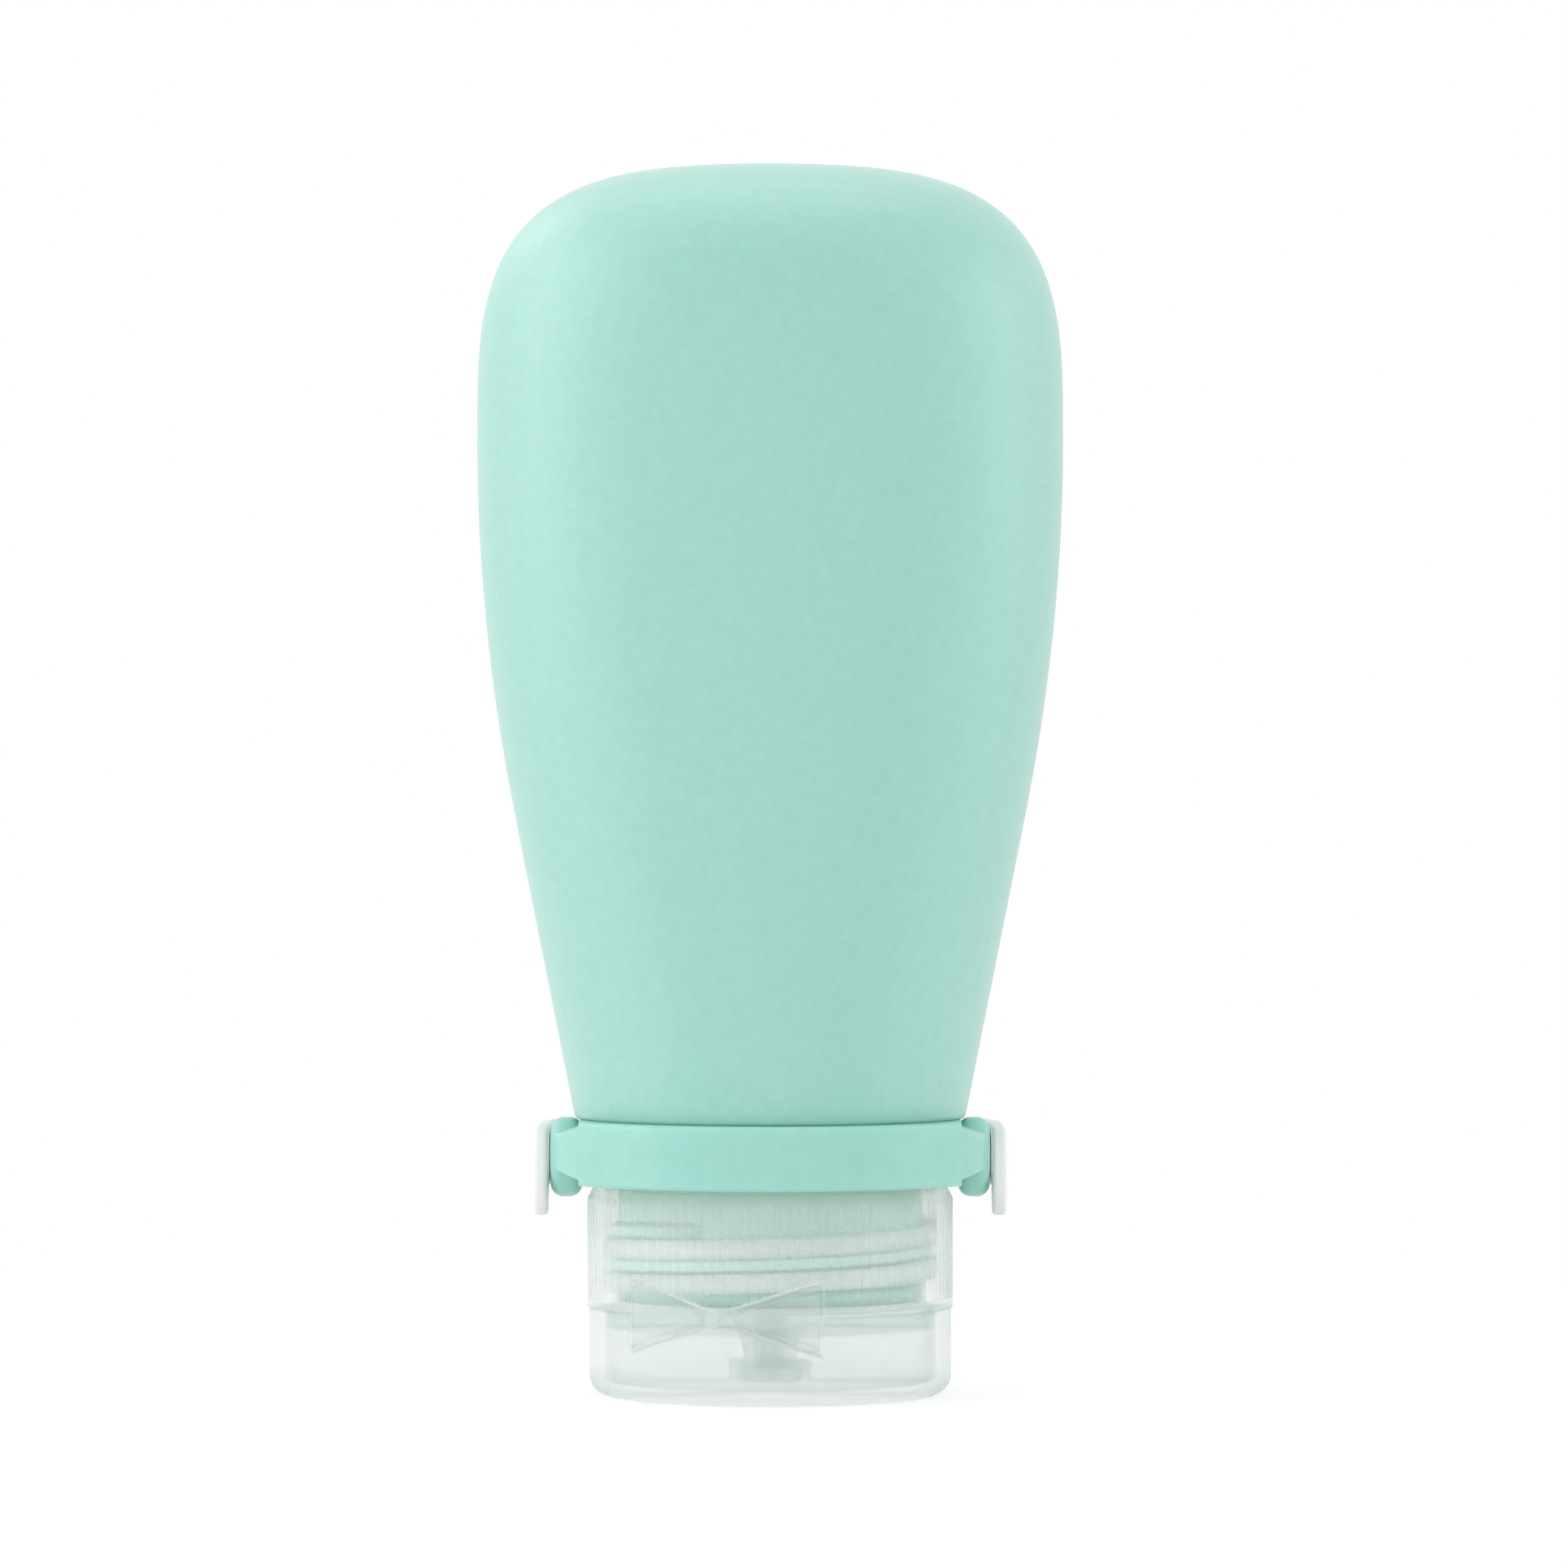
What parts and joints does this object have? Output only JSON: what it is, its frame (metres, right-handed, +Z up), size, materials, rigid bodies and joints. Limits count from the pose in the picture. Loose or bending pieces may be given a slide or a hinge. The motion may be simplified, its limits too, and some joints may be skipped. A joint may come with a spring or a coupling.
{
  "type": "travel squeeze bottle",
  "caption": "Soft silicone travel squeeze bottle, upside down on a translucent flip-top screw cap, with a collar ring and a swinging hanging loop.",
  "frame": {"origin": "centre of the closed lid's flat outer face, which the upside-down bottle stands on", "axes": "+Z up along the bottle's axis, X along the bottle's width, -Y is the front that the picture shows, the loop is stowed at +Y"},
  "size_m": [0.055, 0.0533, 0.115],
  "materials": {
    "silicone": "satin translucent silicone",
    "collar_plastic": "satin moulded polypropylene",
    "loop_plastic": "satin moulded nylon",
    "cap_plastic": "translucent moulded polypropylene",
    "insert_plastic": "moulded polypropylene",
    "seal_rubber": "soft translucent silicone"
  },
  "bodies": {
    "bottle": {"bottle_body": "silicone", "threaded_collar": "collar_plastic", "neck_insert": "insert_plastic"},
    "loop": {"hanging_loop": "loop_plastic"},
    "washer": {"seal_washer": "seal_rubber"},
    "cap": {"screw_cap": "cap_plastic", "drip_valve": "seal_rubber", "valve_retainer": "insert_plastic"},
    "lid": {"flip_lid": "cap_plastic"},
    "plate_left": {"hinge_plate_left": "cap_plastic"},
    "plate_right": {"hinge_plate_right": "cap_plastic"}
  },
  "joints": [
    {"name": "loop_swing", "type": "hinge", "parent": "bottle", "child": "loop", "pos_m": [0, 0, 0.02225], "axis": [-1, 0, 0], "range_deg": [-45, 225]},
    {"name": "cap_travel", "type": "slide", "parent": "bottle", "child": "washer", "axis": [0, 0, -1], "range_m": [0, 0.0064]},
    {"name": "cap_turn", "type": "hinge", "parent": "washer", "child": "cap", "pos_m": [0, 0, 0.0135], "axis": [0, 0, -1], "range_deg": [0, 720]},
    {"name": "lid_flip", "type": "hinge", "parent": "cap", "child": "lid", "pos_m": [-0.00491, -0.01638, 0.00817], "axis": [-0.9578, 0.2874, 0], "range_deg": [0, 176]},
    {"name": "plate_left_fold", "type": "hinge", "parent": "cap", "child": "plate_left", "pos_m": [-0.00491, -0.01638, 0.00817], "axis": [-0.8017, 0.5266, 0.2827], "range_deg": [0, 92.9]},
    {"name": "plate_right_fold", "type": "hinge", "parent": "cap", "child": "plate_right", "pos_m": [-0.00491, -0.01638, 0.00817], "axis": [-0.9592, 0.0017, -0.2827], "range_deg": [0, 92.9]}
  ],
  "couplings": [
    {"joint": "cap_turn", "follows": "cap_travel", "rad_per_m": 1963.5},
    {"joint": "plate_left_fold", "follows": "lid_flip", "ratio": 0.5273},
    {"joint": "plate_right_fold", "follows": "lid_flip", "ratio": 0.5273}
  ]
}
